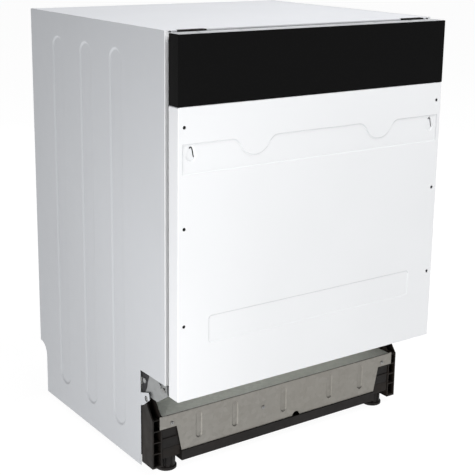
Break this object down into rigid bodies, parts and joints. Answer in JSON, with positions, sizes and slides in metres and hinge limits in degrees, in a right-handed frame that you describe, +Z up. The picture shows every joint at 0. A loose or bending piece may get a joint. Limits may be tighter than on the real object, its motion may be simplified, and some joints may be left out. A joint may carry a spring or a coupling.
{
  "type": "built-in dishwasher",
  "caption": "Fully integrated dishwasher in a white sheet cabinet, with a drop-down door, black control fascia, wire racks, spray arms and a recessed plinth on adjustable feet.",
  "frame": {"origin": "on the floor under the middle of the machine", "axes": "+X to the machine's right as seen from the front, -Y out of the front (the door opens towards -Y), +Z up"},
  "size_m": [0.598, 0.55, 0.815],
  "materials": {
    "white_paint": "smooth white enamel on sheet steel",
    "galvanised": "dull galvanised sheet",
    "stainless": "satin stainless sheet",
    "steel": "plain spring steel",
    "black_gloss": "glossy black",
    "black_plastic": "matt black, slightly warm",
    "grey_plastic": "matt mid grey",
    "pale_plastic": "matt off-white",
    "blue_plastic": "matt blue",
    "rubber": "matt black rubber",
    "felt": "pressed felt",
    "coated_wire": "grey plastic coating"
  },
  "bodies": {
    "cabinet": {"left_side_panel": "white_paint", "right_side_panel": "white_paint", "top_panel": "white_paint", "left_worktop_bracket": "black_plastic", "right_worktop_bracket": "black_plastic", "rear_panel": "galvanised", "front_crossbar": "galvanised", "tub": "stainless", "tub_gasket": "rubber", "left_rack_rail": "stainless", "right_rack_rail": "stainless", "spray_feed_pipe": "grey_plastic", "base_tray": "black_plastic", "plinth_plate": "galvanised", "left_front_post": "black_plastic", "right_front_post": "black_plastic", "left_hinge_bracket": "galvanised", "right_hinge_bracket": "galvanised", "left_door_spring": "steel", "right_door_spring": "steel", "sump": "grey_plastic", "circulation_pump": "black_plastic", "drain_pump": "grey_plastic", "water_softener": "pale_plastic", "filter_plate": "stainless", "inlet_valve": "pale_plastic", "drain_spigot": "grey_plastic", "terminal_box": "grey_plastic", "air_break": "pale_plastic"},
    "door": {"door_outer_panel": "white_paint", "door_inner_panel": "stainless", "door_insulation": "felt", "control_fascia": "black_gloss", "control_strip": "grey_plastic", "display_window": "black_gloss", "left_hinge_arm": "galvanised", "right_hinge_arm": "galvanised", "dispenser_body": "grey_plastic"},
    "lower_rack": {"lower_rack": "coated_wire", "cutlery_basket": "grey_plastic"},
    "power_button": {"power_button": "pale_plastic"},
    "program_button": {"program_button": "pale_plastic"},
    "delay_button": {"delay_button": "pale_plastic"},
    "start_button": {"start_button": "pale_plastic"},
    "latch_hook": {"latch_hook": "steel"},
    "dispenser_lid": {"dispenser_lid": "grey_plastic"},
    "rinse_aid_cap": {"rinse_aid_cap": "blue_plastic"},
    "salt_cap": {"salt_cap": "black_plastic"},
    "filter_cup": {"filter_cup": "grey_plastic"},
    "lower_spray_arm": {"lower_spray_arm": "grey_plastic"},
    "upper_spray_arm": {"upper_spray_arm": "grey_plastic"},
    "upper_rack": {"upper_rack": "coated_wire"},
    "cup_shelf": {"cup_shelf": "coated_wire"},
    "front_left_foot": {"front_left_foot": "black_plastic"},
    "front_right_foot": {"front_right_foot": "black_plastic"},
    "rear_foot": {"rear_foot": "black_plastic"},
    "front_left_wheel": {"front_left_wheel": "grey_plastic"},
    "front_right_wheel": {"front_right_wheel": "grey_plastic"},
    "rear_left_wheel": {"rear_left_wheel": "grey_plastic"},
    "rear_right_wheel": {"rear_right_wheel": "grey_plastic"}
  },
  "joints": [
    {"name": "door_hinge", "type": "hinge", "parent": "cabinet", "child": "door", "pos_m": [0, -0.225, 0.184], "axis": [1, 0, 0], "range_deg": [0, 90], "stiffness_Nm_per_rad": 15, "springref_deg": -5.73, "deforming": ["left_door_spring", "right_door_spring"]},
    {"name": "upper_rack_slide", "type": "slide", "parent": "cabinet", "child": "upper_rack", "axis": [0, -1, 0], "range_m": [0, 0.45]},
    {"name": "lower_rack_slide", "type": "slide", "parent": "cabinet", "child": "lower_rack", "axis": [0, -1, 0], "range_m": [0, 0.5]},
    {"name": "front_left_wheel_spin", "type": "hinge", "parent": "lower_rack", "child": "front_left_wheel", "pos_m": [-0.226, -0.125, 0.2084], "axis": [1, 0, 0], "continuous": true},
    {"name": "front_right_wheel_spin", "type": "hinge", "parent": "lower_rack", "child": "front_right_wheel", "pos_m": [0.226, -0.125, 0.2084], "axis": [1, 0, 0], "continuous": true},
    {"name": "rear_left_wheel_spin", "type": "hinge", "parent": "lower_rack", "child": "rear_left_wheel", "pos_m": [-0.226, 0.19, 0.2084], "axis": [1, 0, 0], "continuous": true},
    {"name": "rear_right_wheel_spin", "type": "hinge", "parent": "lower_rack", "child": "rear_right_wheel", "pos_m": [0.226, 0.19, 0.2084], "axis": [1, 0, 0], "continuous": true},
    {"name": "cup_shelf_fold", "type": "hinge", "parent": "upper_rack", "child": "cup_shelf", "pos_m": [-0.24, 0, 0.604], "axis": [0, -1, 0], "range_deg": [0, 75]},
    {"name": "upper_spray_arm_spin", "type": "hinge", "parent": "upper_rack", "child": "upper_spray_arm", "pos_m": [0, 0.014, 0.48], "axis": [0, 0, 1], "continuous": true},
    {"name": "lower_spray_arm_spin", "type": "hinge", "parent": "cabinet", "child": "lower_spray_arm", "pos_m": [0, 0.014, 0.21], "axis": [0, 0, 1], "continuous": true},
    {"name": "salt_cap_turn", "type": "hinge", "parent": "cabinet", "child": "salt_cap", "pos_m": [-0.19, -0.06, 0.195], "axis": [0, 0, 1], "continuous": true},
    {"name": "filter_cup_turn", "type": "hinge", "parent": "cabinet", "child": "filter_cup", "pos_m": [0.075, -0.035, 0.19], "axis": [0, 0, 1], "range_deg": [0, 90]},
    {"name": "dispenser_lid_slide", "type": "slide", "parent": "door", "child": "dispenser_lid", "axis": [0, 0, -1], "range_m": [0, 0.06]},
    {"name": "rinse_aid_cap_turn", "type": "hinge", "parent": "door", "child": "rinse_aid_cap", "pos_m": [0.052, -0.2136, 0.47], "axis": [0, 1, 0], "range_deg": [0, 90]},
    {"name": "latch_hook_turn", "type": "hinge", "parent": "door", "child": "latch_hook", "pos_m": [0, -0.268, 0.798], "axis": [1, 0, 0], "range_deg": [0, 20]},
    {"name": "power_button_press", "type": "slide", "parent": "door", "child": "power_button", "axis": [0, 0, -1], "range_m": [0, 0.0015], "stiffness_N_per_m": 600, "springref_m": -0.001},
    {"name": "program_button_press", "type": "slide", "parent": "door", "child": "program_button", "axis": [0, 0, -1], "range_m": [0, 0.0015], "stiffness_N_per_m": 600, "springref_m": -0.001},
    {"name": "delay_button_press", "type": "slide", "parent": "door", "child": "delay_button", "axis": [0, 0, -1], "range_m": [0, 0.0015], "stiffness_N_per_m": 600, "springref_m": -0.001},
    {"name": "start_button_press", "type": "slide", "parent": "door", "child": "start_button", "axis": [0, 0, -1], "range_m": [0, 0.0015], "stiffness_N_per_m": 600, "springref_m": -0.001},
    {"name": "front_left_foot_height", "type": "slide", "parent": "cabinet", "child": "front_left_foot", "axis": [0, 0, -1], "range_m": [0, 0.06]},
    {"name": "front_right_foot_height", "type": "slide", "parent": "cabinet", "child": "front_right_foot", "axis": [0, 0, -1], "range_m": [0, 0.06]},
    {"name": "rear_foot_height", "type": "slide", "parent": "cabinet", "child": "rear_foot", "axis": [0, 0, -1], "range_m": [0, 0.06]}
  ],
  "couplings": [
    {"joint": "upper_rack_slide", "follows": "door_hinge", "m_per_rad": 0.286},
    {"joint": "lower_rack_slide", "follows": "door_hinge", "m_per_rad": 0.05},
    {"joint": "front_left_wheel_spin", "follows": "door_hinge", "ratio": 2.9412},
    {"joint": "front_right_wheel_spin", "follows": "door_hinge", "ratio": 2.9412},
    {"joint": "rear_left_wheel_spin", "follows": "door_hinge", "ratio": 2.9412},
    {"joint": "rear_right_wheel_spin", "follows": "door_hinge", "ratio": 2.9412}
  ]
}
